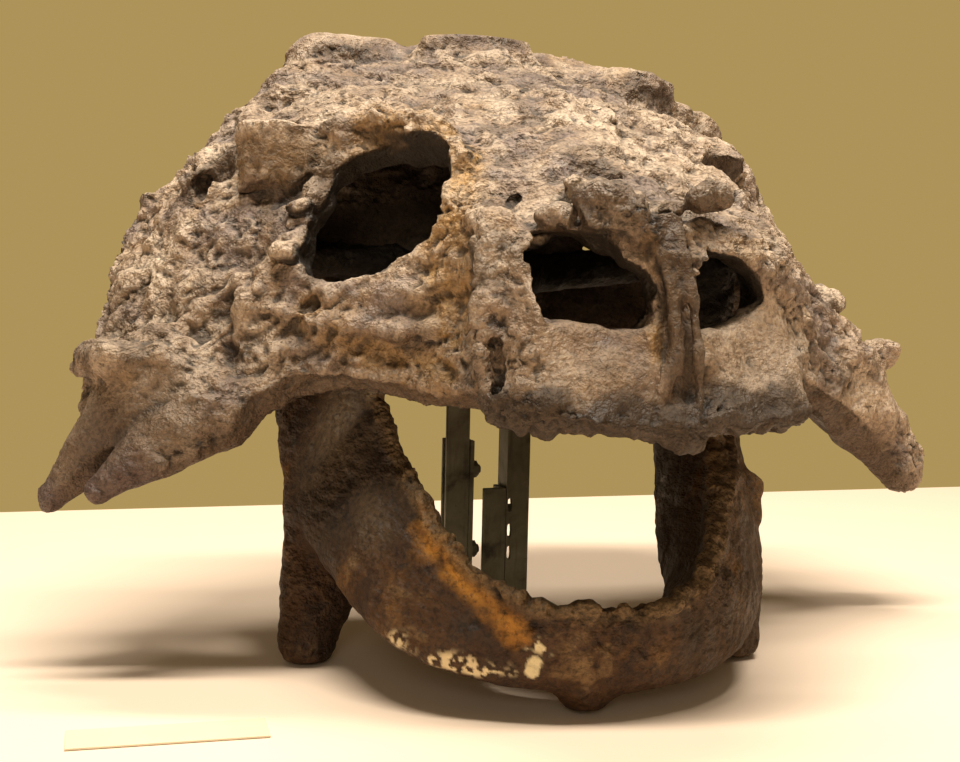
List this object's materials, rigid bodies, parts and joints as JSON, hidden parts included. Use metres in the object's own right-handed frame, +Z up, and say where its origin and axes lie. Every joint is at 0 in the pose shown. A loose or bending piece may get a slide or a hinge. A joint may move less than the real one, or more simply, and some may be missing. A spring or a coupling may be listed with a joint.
{
  "type": "mounted fossil reptile skull",
  "caption": "Broad, rugose fossil skull with flared cheek horns, held on two slotted steel uprights, its lower jaw standing on its own chin in front, with a blank caption card.",
  "frame": {"origin": "middle of the underside of the stand's steel foot plate, on the floor", "axes": "+Z up; the snout points along -Y, and +X is the animal's left"},
  "size_m": [0.5671, 0.325, 0.3699],
  "materials": {
    "cranium_bone": "matt, rugose, mineralised bone",
    "jaw_bone": "satin, dark stained bone with ochre patches",
    "stand_steel": "satin olive paint",
    "stand_bolt": "satin olive paint, worn on the corners",
    "label_card": "matt card, bare"
  },
  "bodies": {
    "root": {"cranium_snout": "cranium_bone", "cranium_cheek_right": "cranium_bone", "cranium_cheek_left": "cranium_bone", "cranium_roof": "cranium_bone", "cranium_palate": "cranium_bone", "cranium_braincase": "cranium_bone", "jaw_ramus_right": "jaw_bone", "jaw_chin": "jaw_bone", "jaw_ramus_left": "jaw_bone", "stand_foot_plate": "stand_steel", "stand_upper_bar_1": "stand_steel", "stand_lower_bar_1": "stand_steel", "stand_saddle_1": "stand_steel", "stand_bolt_1_1": "stand_bolt", "stand_bolt_1_2": "stand_bolt", "stand_upper_bar_2": "stand_steel", "stand_lower_bar_2": "stand_steel", "stand_saddle_2": "stand_steel", "stand_bolt_2_1": "stand_bolt", "stand_bolt_2_2": "stand_bolt", "stand_label_card": "label_card"}
  },
  "joints": []
}
